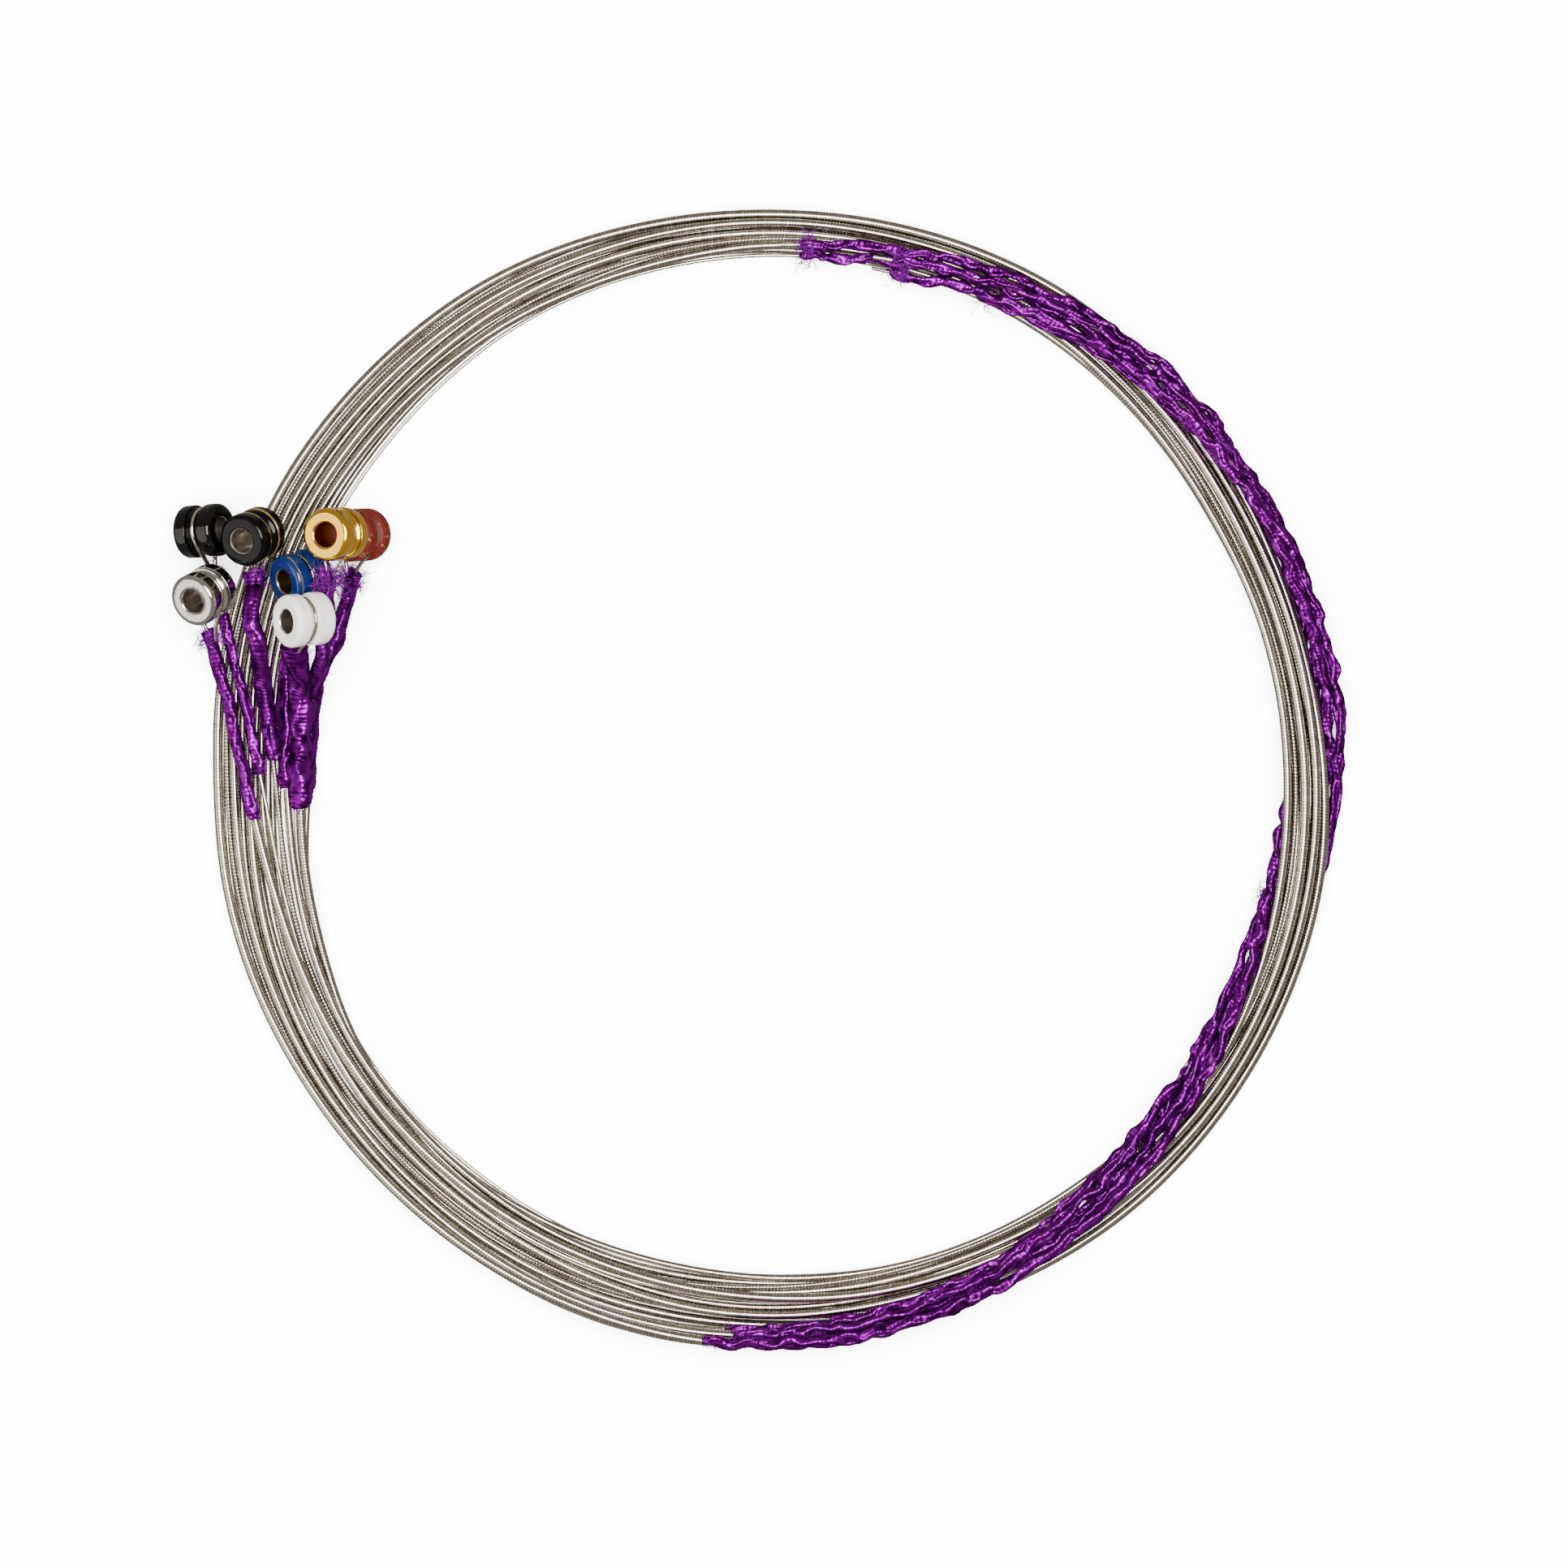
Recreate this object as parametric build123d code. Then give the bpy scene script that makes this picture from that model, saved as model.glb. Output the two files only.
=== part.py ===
from build123d import *

import math
import os
from dataclasses import dataclass

import numpy as np

# A set of seven musical-instrument strings coiled together in one ring that lies flat on a table.
# Millimetres, +Z up. The origin is under the middle of the whole set, on the table.
# Angles are degrees, counter-clockwise from +X about the middle of the ring, and keep growing
# along a string: it starts at its ball end on the left (about 160) and goes round nearly 2.8 times.

# Ball ends
BALL_DIAMETER = 4.0
BALL_LENGTH = 3.4
BORE_DIAMETER = 1.8
GROOVE_FLOOR_RADIUS = 1.4
GROOVE_WIDTH = 1.1
EDGE_CHAMFER = 0.3
BORE_CHAMFER = 0.25

# Wire loop round a ball end
LOOP_CLEARANCE = 0.06
TWIST_REACH = 2.8
TWIST_LENGTH = 0.9
TWIST_SPACE = 0.06
LOOP_SIDES = 6

# Coil
RING_CENTRE = (1.65, -0.3)
STEP = 10
FIRST_STATION = 160
STATIONS_PER_TURN = 360 // STEP
CLEARANCE = 0.12
BALL_SILK_END = 180
PEG_SILK_START = 980

# Fits between the parts of one string
CORE_SPACE = 0.07
END_GAP = 0.14
BARE_TIP = 0.45
SECTION_RUNS = 24

# The bundle's inner and outer radius at every 30 degrees, from 0.
BUNDLE_ANGLES = range(0, 361, 30)
BUNDLE_INNER = (38.0, 38.0, 39.4, 40.1, 39.9, 38.9, 36.0, 37.6, 37.5, 37.3, 37.6, 37.8, 38.0)
BUNDLE_OUTER = (41.7, 42.0, 43.2, 43.3, 44.2, 44.1, 43.2, 42.6, 42.8, 42.5, 42.2, 42.0, 41.7)

# The peg-end silks go over the bundle, round its inner edge, under it, up its outer edge and over
# it again: (angle, share of the way from the inner to the outer radius).
WRAP = (
    (960, 0.9), (980, 1.05), (1000, 0.85), (1020, 0.55), (1040, 0.12), (1055, -0.12), (1065, 0.0),
    (1075, 0.6), (1085, 1.15), (1100, 1.22), (1112, 1.1), (1130, 0.65), (1150, 0.12), (1170, 0.02),
)
WRAP_START = 965
WRAP_UNDER = (1048, 1112)
WRAP_FAN = 3.2


@dataclass
class String:
    name: str  # its ball end's colour
    diameter: float  # over the winding, or the plain wire's
    core: float  # core wire's diameter
    ball_silk: float  # diameters over the silk
    peg_silk: float
    ball: tuple  # ball end's centre, from the middle of the ring
    facing: tuple  # along the ball end's bore
    lead: tuple  # points of the route between the twist and the coil, chosen by hand
    radii: tuple  # of the route at the first four stations of the coil
    level: float  # height at which it was laid on the bundle
    end: int  # angle of its tip

    @property
    def wound(self):
        return self.diameter > self.core


STRINGS = (
    String("red", 0.3, 0.3, 0.9, 0.65, (-31.85, 18.75, 2.55), (0.45, 0.05, -0.89),
           ((-32.85, 13.35, 1.1), (-34, 9.75, 0.95)), (36.2, 36.4, 36.9, 37.2), 0.4, 1150),
    String("gold", 0.52, 0.22, 1.0, 0.75, (-33.4, 18.7, 6), (-0.45, -0.05, 0.89),
           ((-34.15, 12.7, 4.9), (-34.55, 9.45, 4.9)), (36.0, 36.0, 36.2, 36.6), 1.2, 1120),
    String("white", 0.67, 0.28, 1.25, 0.85, (-35.7, 12.25, 7.25), (-0.8, -0.1, 0.6),
           (), (36.6, 36.8, 36.3, 36.5), 2.2, 1160),
    String("blue", 0.6, 0.25, 1.05, 0.8, (-36.15, 15.55, 3.55), (-0.75, -0.25, 0.6),
           ((-37.05, 10.35, 1.75),), (38.9, 37.9, 37.2, 37.0), 2.8, 1170),
    String("nickel", 0.45, 0.2, 1.15, 0.7, (-39.75, 18.6, 4.2), (-0.45, -0.25, 0.85),
           ((-40, 12.7, 5.6), (-39.1, 9.9, 5.3)), (41.3, 39.0, 37.8, 37.3), 3.6, 1070),
    String("black", 0.35, 0.35, 0.95, 0.7, (-43.5, 19.05, 2.75), (0.87, 0.05, 0.5),
           ((-42.55, 14, 1.4), (-41.75, 11.45, 2.05), (-41.4, 9.35, 1.85)), (43.8, 40.6, 38.7, 37.8),
           4.4, 1160),
    String("silver", 0.77, 0.32, 1.05, 0.85, (-43.4, 14.2, 4.35), (-0.5, -0.35, 0.8),
           (), (45.0, 42.2, 39.5, 38.3), 5.2, 1170),
)


def bundle_edges(angles):
    inner = np.interp(np.mod(angles, 360), BUNDLE_ANGLES, BUNDLE_INNER)
    outer = np.interp(np.mod(angles, 360), BUNDLE_ANGLES, BUNDLE_OUTER)
    return inner, outer


def lane(number, angle):
    """A string's share of the way across the bundle: each turn lies outside the one before."""
    passes = 2 if 90 < angle % 360 < 165 else 3
    turn = int((angle - 165) // 360)
    return (turn + 0.5 + 0.75 * (number / 6 - 0.5)) / passes


def settle(rounds=600, easing=0.45, seed=3):
    """Lays the strings on the table and lets them sink and push each other aside.

    Every string is a row of stations, one each STEP degrees, and its line is the quadratic
    B-spline of them. Returns the stations' angles, and their radii and heights for each string.
    """
    random = np.random.default_rng(seed)
    tips = [(s.end - FIRST_STATION) // STEP + 1 for s in STRINGS]
    size = max(tips) + 1
    angles = FIRST_STATION + STEP * np.arange(size)
    inner, outer = bundle_edges(angles)
    shape = (len(STRINGS), size)
    live = np.zeros(shape, bool)
    loose = np.zeros(shape, bool)
    thick, goal, height, hold = (np.zeros(shape) for _ in range(4))

    for k, s in enumerate(STRINGS):
        live[k, : tips[k] + 1] = True
        widths = np.where(angles <= BALL_SILK_END, s.ball_silk, s.diameter)
        thick[k] = np.where(angles >= PEG_SILK_START, s.peg_silk, widths) / 2
        share = np.array([lane(k, a) for a in angles])
        share_of_wrap = np.interp(angles - WRAP_FAN * (k - 3), *zip(*WRAP))
        wrapped = angles >= WRAP_START
        goal[k] = inner + (outer - inner) * np.where(wrapped, share_of_wrap, share)
        goal[k, :4] = s.radii
        hold[k] = np.where(wrapped, 0.35, 0.04)
        hold[k, :4] = 0.8
        loose[k] = wrapped
        loose[k, :5] = True
        # where it is laid at first: under the bundle, on it, or among the others
        height[k] = 0.4 + 0.35 * (3 * k % 7) + random.uniform(0, 0.2, size)
        height[k, :7] = s.level + thick[k, :7]
        height[k, 7:15] = np.linspace(height[k, 6], height[k, 15], 8)
        lifted = ((angles + 35) % 360 < 50) & ~wrapped
        height[k, lifted] += 1.6
        turned = angles - WRAP_FAN * (k - 3)
        under = (turned >= WRAP_UNDER[0]) & (turned < WRAP_UNDER[1])
        height[k, wrapped] = np.where(under, 0, 5 + 0.3 * k)[wrapped]
        phases = random.uniform(0, 2 * math.pi, 2)
        wander = 0.35 * np.sin(1.7 * np.radians(angles) + phases[0])
        wander += 0.25 * np.sin(2.9 * np.radians(angles) + phases[1])
        goal[k, 4:] += np.where(wrapped, 0, wander)[4:]

    # who, m, lies beside whom: the strings' stations at each of the ring's angles
    rows = [
        [(k, i) for i in range(first, size, STATIONS_PER_TURN) for k in range(len(STRINGS))
         if 1 <= i < tips[k]]
        for first in range(STATIONS_PER_TURN)
    ]
    most = max(len(row) for row in rows)
    real = np.array([[m < len(row) for m in range(most)] for row in rows])
    which = np.array([row + [(0, 1)] * (most - len(row)) for row in rows])
    string, place = which[..., 0], which[..., 1]
    pairs = real[:, :, None] & real[:, None, :] & ~np.eye(most, dtype=bool)
    radius = thick[string, place]
    apart = radius[:, :, None] + radius[:, None, :] + CLEARANCE
    along = np.arange(4) / 4
    weights = np.stack([(1 - along) ** 2 / 2, 0.5 + along - along**2, along**2 / 2])

    def on_line(values):
        """The strings' lines at four places near each station."""
        near = np.stack([values[string, place + shift] for shift in (-1, 0, 1)])
        return np.einsum("wa,wrm->arm", weights, near)

    middle = (inner + outer) / 2
    radii = goal.copy()
    for count in range(rounds):
        done = count / rounds
        ease = min(1, (1 - done) / easing) ** 1.5 if done > 1 - easing else 1
        for values, stiffness in ((radii, 0.25), (height, 0.18)):
            line = values - middle if values is radii else values.copy()
            bend = (line[:, :-2] + line[:, 2:]) / 2 - line[:, 1:-1]
            values[:, 1:-1] += stiffness * (0.15 + 0.85 * ease) * bend * live[:, 2:]
        radii += hold * (goal - radii) * ease
        height -= 0.03 * (0.05 + 0.95 * ease)
        held_in = np.clip(radii, inner + thick, outer - thick)
        radii += np.where(loose, 0, 0.5 * (0.1 + 0.9 * ease) * (held_in - radii))
        for _ in range(3):
            across, up = on_line(radii), on_line(height)
            gap_across = across[..., :, None] - across[..., None, :]
            gap_up = up[..., :, None] - up[..., None, :]
            distance = np.hypot(gap_across, gap_up) + 1e-9
            push = np.where(pairs & (distance < apart), 0.3 * (apart - distance) / distance, 0)
            push_across = (push * gap_across).sum(3)
            push_up = (push * gap_up).sum(3) + 0.6 * np.maximum(radius - up, 0) * real
            for shift in range(3):
                share = weights[shift] / (weights**2).sum(0) / 1.7
                spot = string[real], (place + shift - 1)[real]
                radii[spot] += np.einsum("a,arm->rm", share, push_across)[real]
                height[spot] += np.einsum("a,arm->rm", share, push_up)[real]
        height = np.maximum(height, thick)
    return angles, radii, height


def ball_frame(s, target):
    """The ball end's centre, its bore's direction and the direction in which the string leaves."""
    centre = Vector(*s.ball)
    bore = Vector(*s.facing).normalized()
    lead = target - centre
    leaving = (lead - bore * lead.dot(bore)).normalized()
    return centre, bore, leaving


def loop_points(s, target):
    """Points of the wire from its cut end, round the ball end and back to the twist."""
    centre, bore, leaving = ball_frame(s, target)
    side = bore.cross(leaving)
    radius = GROOVE_FLOOR_RADIUS + s.core / 2 + LOOP_CLEARANCE
    spread = s.core / 2 + TWIST_SPACE
    touch = math.acos(radius / TWIST_REACH)
    part = (2 * math.pi - 2 * touch) / LOOP_SIDES
    corner = radius / math.cos(part / 2)
    angles = [touch + part * (n + 0.5) for n in range(LOOP_SIDES)]
    circle = [centre + leaving * corner * math.cos(a) + side * corner * math.sin(a) for a in angles]
    cut_end = centre + leaving * (TWIST_REACH + TWIST_LENGTH) + side * spread
    twist_out = centre + leaving * TWIST_REACH + side * spread
    twist_back = centre + leaving * TWIST_REACH - side * spread
    return [cut_end, twist_out, *circle, twist_back]


def coil_points(s, angles, radii, heights):
    """Points of the coiled part. They lie outside the line, which cuts their corners."""
    points = []
    for angle, radius, height in zip(angles, radii, heights):
        if FIRST_STATION < angle <= s.end:
            reach = radius / math.cos(math.radians(STEP / 2))
            turn = math.radians(angle)
            points.append(Vector(reach * math.cos(turn), reach * math.sin(turn), height))
    return points


def bend_radii(points):
    """Each corner's radius: as large as its two runs allow."""
    radii = []
    for before, here, after in zip(points, points[1:], points[2:]):
        turn = math.radians((here - before).get_angle(after - here))
        shorter = min((here - before).length, (after - here).length)
        radii.append(0.45 * shorter / math.tan(turn / 2))
    return radii


def path_edges(points):
    """Straight runs joined by tangent arcs: run n is edge 2n, and the arc after it 2n + 1."""
    return list(FilletPolyline(*points, radius=bend_radii(points)).wire().order_edges())


def stretch(edges, first_run, last_run, start=0.0, end=1.0):
    """The path from inside one run to inside another, given as shares of their straight parts."""
    part = edges[2 * first_run : 2 * last_run + 1]
    part[0] = part[0].trim(start, 1)
    part[-1] = part[-1].trim(0, end)
    return part


def rod(edges, diameter):
    path = Wire(edges)
    face = Plane(origin=path @ 0, z_dir=path % 0) * Circle(diameter / 2)
    return sweep(face, path=path)


def sleeve(edges, outside, inside):
    """A hollow tube, made in lengths of less than a turn that are joined end to end."""
    lengths = []
    for first in range(0, len(edges), 2 * SECTION_RUNS):
        path = Wire(edges[first : first + 2 * SECTION_RUNS])
        plane = Plane(origin=path @ 0, z_dir=path % 0)
        ring = plane * Circle(outside / 2) - plane * Circle(inside / 2)
        lengths.append(sweep(ring, path=path))
    if len(lengths) == 1:
        return lengths[0]
    return lengths[0].fuse(*lengths[1:])


def ball_end(s, target):
    """A turned spool: grooved round its middle, bored along its axis, with broken edges."""
    centre, bore, leaving = ball_frame(s, target)
    half = BALL_LENGTH / 2
    outside = BALL_DIAMETER / 2
    inside = BORE_DIAMETER / 2
    lip = GROOVE_WIDTH / 2
    with BuildSketch(Plane.XZ) as section:
        with BuildLine():
            Polyline(
                (outside, -lip),
                (outside, -half + EDGE_CHAMFER),
                (outside - EDGE_CHAMFER, -half),
                (inside + BORE_CHAMFER, -half),
                (inside, -half + BORE_CHAMFER),
                (inside, half - BORE_CHAMFER),
                (inside + BORE_CHAMFER, half),
                (outside - EDGE_CHAMFER, half),
                (outside, half - EDGE_CHAMFER),
                (outside, lip),
            )
            ThreePointArc((outside, lip), (GROOVE_FLOOR_RADIUS, 0), (outside, -lip))
        make_face()
    spool = revolve(section.sketch, axis=Axis.Z)
    return Plane(origin=centre, x_dir=leaving, z_dir=bore) * spool


def string_parts(s, angles, radii, heights):
    """All the separate pieces of one string, by name."""
    route = [Vector(*p) for p in s.lead] + coil_points(s, angles, radii, heights)
    loop = loop_points(s, route[0])
    points = loop + route
    edges = path_edges(points)
    corners = bend_radii(points)
    bends = min(corners[: len(loop) - 1]), min(corners[len(loop) - 1 :])
    print(f"{s.name}: {Wire(edges).length:.1f} long, smallest bend {bends[0]:.2f}",
          f"round the ball end and {bends[1]:.1f} after it")

    # a run is named by the point that it starts from
    twist = len(loop) - 1
    first_station = len(loop) + len(s.lead)
    silk_end = first_station + (BALL_SILK_END - FIRST_STATION) // STEP - 1
    peg_start = first_station + (PEG_SILK_START - FIRST_STATION) // STEP - 1
    tip = len(points) - 2
    straight = edges[2 * silk_end].length
    ends = 0.5 - END_GAP / straight / 2, 0.5 + END_GAP / straight / 2
    core_bore = s.core + 2 * CORE_SPACE

    parts = {
        f"{s.name}_ball_end": ball_end(s, route[0]),
        f"{s.name}_core_wire": rod(edges, s.core),
        f"{s.name}_ball_silk": sleeve(
            stretch(edges, twist, silk_end, 0, ends[0]), s.ball_silk, core_bore),
        f"{s.name}_peg_silk": sleeve(
            stretch(edges, peg_start, tip, ends[1], 1 - BARE_TIP), s.peg_silk, core_bore),
    }
    if s.wound:
        parts[f"{s.name}_winding"] = sleeve(
            stretch(edges, silk_end, peg_start, ends[1], ends[0]), s.diameter, core_bore)
    return parts


def main():
    os.makedirs("parts", exist_ok=True)
    angles, radii, heights = settle()
    to_origin = Location((*RING_CENTRE, 0))
    for number, s in enumerate(STRINGS):
        for name, solid in string_parts(s, angles, radii[number], heights[number]).items():
            placed = to_origin * solid
            placed.label = name
            export_step(placed, f"parts/{name}.step")


if __name__ == "__main__":
    main()
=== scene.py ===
import math
from dataclasses import dataclass

import bpy
import numpy as np
from mathutils import Matrix, Vector


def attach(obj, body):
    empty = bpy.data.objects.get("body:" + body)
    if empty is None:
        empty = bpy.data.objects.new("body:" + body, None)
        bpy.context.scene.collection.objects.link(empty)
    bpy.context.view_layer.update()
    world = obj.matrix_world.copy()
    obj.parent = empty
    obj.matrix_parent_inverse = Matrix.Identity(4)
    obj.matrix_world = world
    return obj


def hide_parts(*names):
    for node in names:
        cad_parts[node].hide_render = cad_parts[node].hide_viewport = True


# A set of seven musical-instrument strings with coloured ball ends and purple silk wrappings,
# coiled together in one ring. Sizes below are millimetres and are turned into metres by MM.
# Angles are degrees, counter-clockwise from +X about the middle of the ring.

MM = 0.001

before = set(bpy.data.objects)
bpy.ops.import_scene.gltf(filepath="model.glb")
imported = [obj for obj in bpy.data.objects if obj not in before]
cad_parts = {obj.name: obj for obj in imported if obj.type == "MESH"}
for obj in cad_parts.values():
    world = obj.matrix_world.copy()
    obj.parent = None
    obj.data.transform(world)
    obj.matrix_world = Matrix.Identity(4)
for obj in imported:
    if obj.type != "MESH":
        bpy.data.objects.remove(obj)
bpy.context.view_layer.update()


# ---------------------------------------------------------------- Sizes, as in the CAD part

BALL_DIAMETER = 4.0
BALL_LENGTH = 3.4
BORE_DIAMETER = 1.8
GROOVE_FLOOR_RADIUS = 1.4
GROOVE_WIDTH = 1.1

LOOP_CLEARANCE = 0.06
TWIST_REACH = 2.8
TWIST_LENGTH = 0.9
TWIST_SPACE = 0.06
LOOP_SIDES = 6

RING_CENTRE = (1.65, -0.3)
STEP = 10
FIRST_STATION = 160
STATIONS_PER_TURN = 360 // STEP
CLEARANCE = 0.12
BALL_SILK_END = 180
PEG_SILK_START = 980

# The bundle's inner and outer radius at every 30 degrees, from 0.
BUNDLE_ANGLES = range(0, 361, 30)
BUNDLE_INNER = (38.0, 38.0, 39.4, 40.1, 39.9, 38.9, 36.0, 37.6, 37.5, 37.3, 37.6, 37.8, 38.0)
BUNDLE_OUTER = (41.7, 42.0, 43.2, 43.3, 44.2, 44.1, 43.2, 42.6, 42.8, 42.5, 42.2, 42.0, 41.7)

# The peg-end silks' way over, round and under the bundle: (angle, share of the way across it).
WRAP = (
    (960, 0.9), (980, 1.05), (1000, 0.85), (1020, 0.55), (1040, 0.12), (1055, -0.12), (1065, 0.0),
    (1075, 0.6), (1085, 1.15), (1100, 1.22), (1112, 1.1), (1130, 0.65), (1150, 0.12), (1170, 0.02),
)
WRAP_START = 965
WRAP_UNDER = (1048, 1112)
WRAP_FAN = 3.2


@dataclass
class String:
    name: str  # its ball end's colour
    diameter: float  # over the winding, or the plain wire's
    core: float  # core wire's diameter
    ball_silk: float  # diameters over the silk
    peg_silk: float
    ball: tuple  # ball end's centre, from the middle of the ring
    facing: tuple  # along the ball end's bore
    lead: tuple  # points of the route between the twist and the coil
    radii: tuple  # of the route at the first four stations of the coil
    level: float  # height at which it was laid on the bundle
    end: int  # angle of its tip

    @property
    def wound(self):
        return self.diameter > self.core


STRINGS = (
    String("red", 0.3, 0.3, 0.9, 0.65, (-31.85, 18.75, 2.55), (0.45, 0.05, -0.89),
           ((-32.85, 13.35, 1.1), (-34, 9.75, 0.95)), (36.2, 36.4, 36.9, 37.2), 0.4, 1150),
    String("gold", 0.52, 0.22, 1.0, 0.75, (-33.4, 18.7, 6), (-0.45, -0.05, 0.89),
           ((-34.15, 12.7, 4.9), (-34.55, 9.45, 4.9)), (36.0, 36.0, 36.2, 36.6), 1.2, 1120),
    String("white", 0.67, 0.28, 1.25, 0.85, (-35.7, 12.25, 7.25), (-0.8, -0.1, 0.6),
           (), (36.6, 36.8, 36.3, 36.5), 2.2, 1160),
    String("blue", 0.6, 0.25, 1.05, 0.8, (-36.15, 15.55, 3.55), (-0.75, -0.25, 0.6),
           ((-37.05, 10.35, 1.75),), (38.9, 37.9, 37.2, 37.0), 2.8, 1170),
    String("nickel", 0.45, 0.2, 1.15, 0.7, (-39.75, 18.6, 4.2), (-0.45, -0.25, 0.85),
           ((-40, 12.7, 5.6), (-39.1, 9.9, 5.3)), (41.3, 39.0, 37.8, 37.3), 3.6, 1070),
    String("black", 0.35, 0.35, 0.95, 0.7, (-43.5, 19.05, 2.75), (0.87, 0.05, 0.5),
           ((-42.55, 14, 1.4), (-41.75, 11.45, 2.05), (-41.4, 9.35, 1.85)), (43.8, 40.6, 38.7, 37.8),
           4.4, 1160),
    String("silver", 0.77, 0.32, 1.05, 0.85, (-43.4, 14.2, 4.35), (-0.5, -0.35, 0.8),
           (), (45.0, 42.2, 39.5, 38.3), 5.2, 1170),
)


# ---------------------------------------------------------------- Where the strings lie

# How hard a string is held to its goal radius: in the wrap, elsewhere, and at its first stations.
WRAP_HOLD = 0.35
LANE_HOLD = 0.04
START_HOLD = 0.8

LAYER = 0.35  # between the heights at which the strings are first laid among each other
UNDERPASS_LIFT = 1.6  # given at first to the strings where the silk ends pass under them
WRAP_HEIGHT = 5  # at which the silk ends are first laid over the bundle
WRAP_LAYER = 0.3  # between one silk end and the next there

def bundle_edges(angles):
    inner = np.interp(np.mod(angles, 360), BUNDLE_ANGLES, BUNDLE_INNER)
    outer = np.interp(np.mod(angles, 360), BUNDLE_ANGLES, BUNDLE_OUTER)
    return inner, outer


def lane(number, angle):
    """A string's share of the way across the bundle: each turn lies outside the one before."""
    passes = 2 if 90 < angle % 360 < 165 else 3
    turn = int((angle - 165) // 360)
    return (turn + 0.5 + 0.75 * (number / 6 - 0.5)) / passes


def settle(rounds=600, easing=0.45, seed=3):
    """Lays the strings on the table and lets them sink and push each other aside.

    Every string is a row of stations, one each STEP degrees, and its line is the quadratic
    B-spline of them. Returns the stations' angles, and their radii and heights for each string.
    """
    random = np.random.default_rng(seed)
    tips = [(s.end - FIRST_STATION) // STEP + 1 for s in STRINGS]
    size = max(tips) + 1
    angles = FIRST_STATION + STEP * np.arange(size)
    inner, outer = bundle_edges(angles)
    shape = (len(STRINGS), size)
    live = np.zeros(shape, bool)
    loose = np.zeros(shape, bool)
    thick, goal, height, hold = (np.zeros(shape) for _ in range(4))

    for k, s in enumerate(STRINGS):
        live[k, : tips[k] + 1] = True
        widths = np.where(angles <= BALL_SILK_END, s.ball_silk, s.diameter)
        thick[k] = np.where(angles >= PEG_SILK_START, s.peg_silk, widths) / 2
        share = np.array([lane(k, a) for a in angles])
        share_of_wrap = np.interp(angles - WRAP_FAN * (k - 3), *zip(*WRAP))
        wrapped = angles >= WRAP_START
        goal[k] = inner + (outer - inner) * np.where(wrapped, share_of_wrap, share)
        goal[k, :4] = s.radii
        hold[k] = np.where(wrapped, WRAP_HOLD, LANE_HOLD)
        hold[k, :4] = START_HOLD
        loose[k] = wrapped
        loose[k, :5] = True
        # where it is laid at first: under the bundle, on it, or among the others
        height[k] = 0.4 + LAYER * (3 * k % 7) + random.uniform(0, 0.2, size)
        height[k, :7] = s.level + thick[k, :7]
        height[k, 7:15] = np.linspace(height[k, 6], height[k, 15], 8)
        lifted = ((angles + 35) % 360 < 50) & ~wrapped
        height[k, lifted] += UNDERPASS_LIFT
        turned = angles - WRAP_FAN * (k - 3)
        under = (turned >= WRAP_UNDER[0]) & (turned < WRAP_UNDER[1])
        height[k, wrapped] = np.where(under, 0, WRAP_HEIGHT + WRAP_LAYER * k)[wrapped]
        phases = random.uniform(0, 2 * math.pi, 2)
        wander = 0.35 * np.sin(1.7 * np.radians(angles) + phases[0])
        wander += 0.25 * np.sin(2.9 * np.radians(angles) + phases[1])
        goal[k, 4:] += np.where(wrapped, 0, wander)[4:]

    # who, m, lies beside whom: the strings' stations at each of the ring's angles
    rows = [
        [(k, i) for i in range(first, size, STATIONS_PER_TURN) for k in range(len(STRINGS))
         if 1 <= i < tips[k]]
        for first in range(STATIONS_PER_TURN)
    ]
    most = max(len(row) for row in rows)
    real = np.array([[m < len(row) for m in range(most)] for row in rows])
    which = np.array([row + [(0, 1)] * (most - len(row)) for row in rows])
    string, place = which[..., 0], which[..., 1]
    pairs = real[:, :, None] & real[:, None, :] & ~np.eye(most, dtype=bool)
    radius = thick[string, place]
    apart = radius[:, :, None] + radius[:, None, :] + CLEARANCE
    along = np.arange(4) / 4
    weights = np.stack([(1 - along) ** 2 / 2, 0.5 + along - along**2, along**2 / 2])

    def on_line(values):
        """The strings' lines at four places near each station."""
        near = np.stack([values[string, place + shift] for shift in (-1, 0, 1)])
        return np.einsum("wa,wrm->arm", weights, near)

    middle = (inner + outer) / 2
    radii = goal.copy()
    for count in range(rounds):
        done = count / rounds
        ease = min(1, (1 - done) / easing) ** 1.5 if done > 1 - easing else 1
        for values, stiffness in ((radii, 0.25), (height, 0.18)):
            line = values - middle if values is radii else values.copy()
            bend = (line[:, :-2] + line[:, 2:]) / 2 - line[:, 1:-1]
            values[:, 1:-1] += stiffness * (0.15 + 0.85 * ease) * bend * live[:, 2:]
        radii += hold * (goal - radii) * ease
        height -= 0.03 * (0.05 + 0.95 * ease)
        held_in = np.clip(radii, inner + thick, outer - thick)
        radii += np.where(loose, 0, 0.5 * (0.1 + 0.9 * ease) * (held_in - radii))
        for _ in range(3):
            across, up = on_line(radii), on_line(height)
            gap_across = across[..., :, None] - across[..., None, :]
            gap_up = up[..., :, None] - up[..., None, :]
            distance = np.hypot(gap_across, gap_up) + 1e-9
            push = np.where(pairs & (distance < apart), 0.3 * (apart - distance) / distance, 0)
            push_across = (push * gap_across).sum(3)
            push_up = (push * gap_up).sum(3) + 0.6 * np.maximum(radius - up, 0) * real
            for shift in range(3):
                share = weights[shift] / (weights**2).sum(0) / 1.7
                spot = string[real], (place + shift - 1)[real]
                radii[spot] += np.einsum("a,arm->rm", share, push_across)[real]
                height[spot] += np.einsum("a,arm->rm", share, push_up)[real]
        height = np.maximum(height, thick)
    return angles, radii, height


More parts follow.
